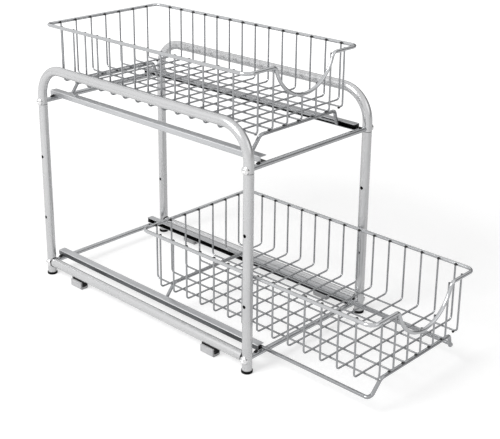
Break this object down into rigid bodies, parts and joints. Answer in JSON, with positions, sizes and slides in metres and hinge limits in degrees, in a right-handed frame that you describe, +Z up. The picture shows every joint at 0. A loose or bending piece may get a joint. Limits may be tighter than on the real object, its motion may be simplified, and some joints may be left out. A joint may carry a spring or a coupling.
{
  "type": "pull-out cabinet basket",
  "caption": "Two-tier pull-out organiser for a kitchen cabinet: a round-tube frame with wire baskets, each with a scooped front, that slide forward on runners in C-shaped rails.",
  "frame": {"origin": "on the floor, at the centre of the rectangle of the four feet", "axes": "+Z up, -Y towards the user (the way the baskets slide out), +X to the right seen from the front"},
  "size_m": [0.2992, 0.7275, 0.4664],
  "materials": {
    "frame_tube": "satin silver",
    "basket_wire": "satin silver",
    "rail_sheet": "satin",
    "screw": "polished",
    "inner_sleeve": "plain",
    "foot_plastic": "matt black",
    "bracket_plastic": "matt light grey",
    "pad_rubber": "matt black"
  },
  "bodies": {
    "frame": {"left_hoop": "frame_tube", "right_hoop": "frame_tube", "front_left_leg": "frame_tube", "front_right_leg": "frame_tube", "back_left_leg": "frame_tube", "back_right_leg": "frame_tube", "left_side_tube": "frame_tube", "right_side_tube": "frame_tube", "upper_front_bar": "frame_tube", "upper_back_bar": "frame_tube", "lower_front_bar": "frame_tube", "lower_back_bar": "frame_tube", "leg_sleeves": "inner_sleeve", "front_left_foot": "foot_plastic", "front_right_foot": "foot_plastic", "back_left_foot": "foot_plastic", "back_right_foot": "foot_plastic", "upper_screws": "screw", "lower_screws": "screw", "upper_left_rail": "rail_sheet", "upper_right_rail": "rail_sheet", "lower_left_rail": "rail_sheet", "lower_right_rail": "rail_sheet", "front_left_bracket": "bracket_plastic", "front_right_bracket": "bracket_plastic", "back_left_bracket": "bracket_plastic", "back_right_bracket": "bracket_plastic", "front_left_pad": "pad_rubber", "front_right_pad": "pad_rubber", "back_left_pad": "pad_rubber", "back_right_pad": "pad_rubber"},
    "upper_basket": {"upper_rim": "basket_wire", "upper_cross_wires": "basket_wire", "upper_long_wires": "basket_wire", "upper_runner": "basket_wire"},
    "lower_basket": {"lower_rim": "basket_wire", "lower_cross_wires": "basket_wire", "lower_long_wires": "basket_wire", "lower_runner": "basket_wire"}
  },
  "joints": [
    {"name": "upper_slide", "type": "slide", "parent": "frame", "child": "upper_basket", "axis": [0, -1, 0], "range_m": [0, 0.3]},
    {"name": "lower_slide", "type": "slide", "parent": "frame", "child": "lower_basket", "axis": [0, -1, 0], "range_m": [-0.238, 0.062]}
  ]
}
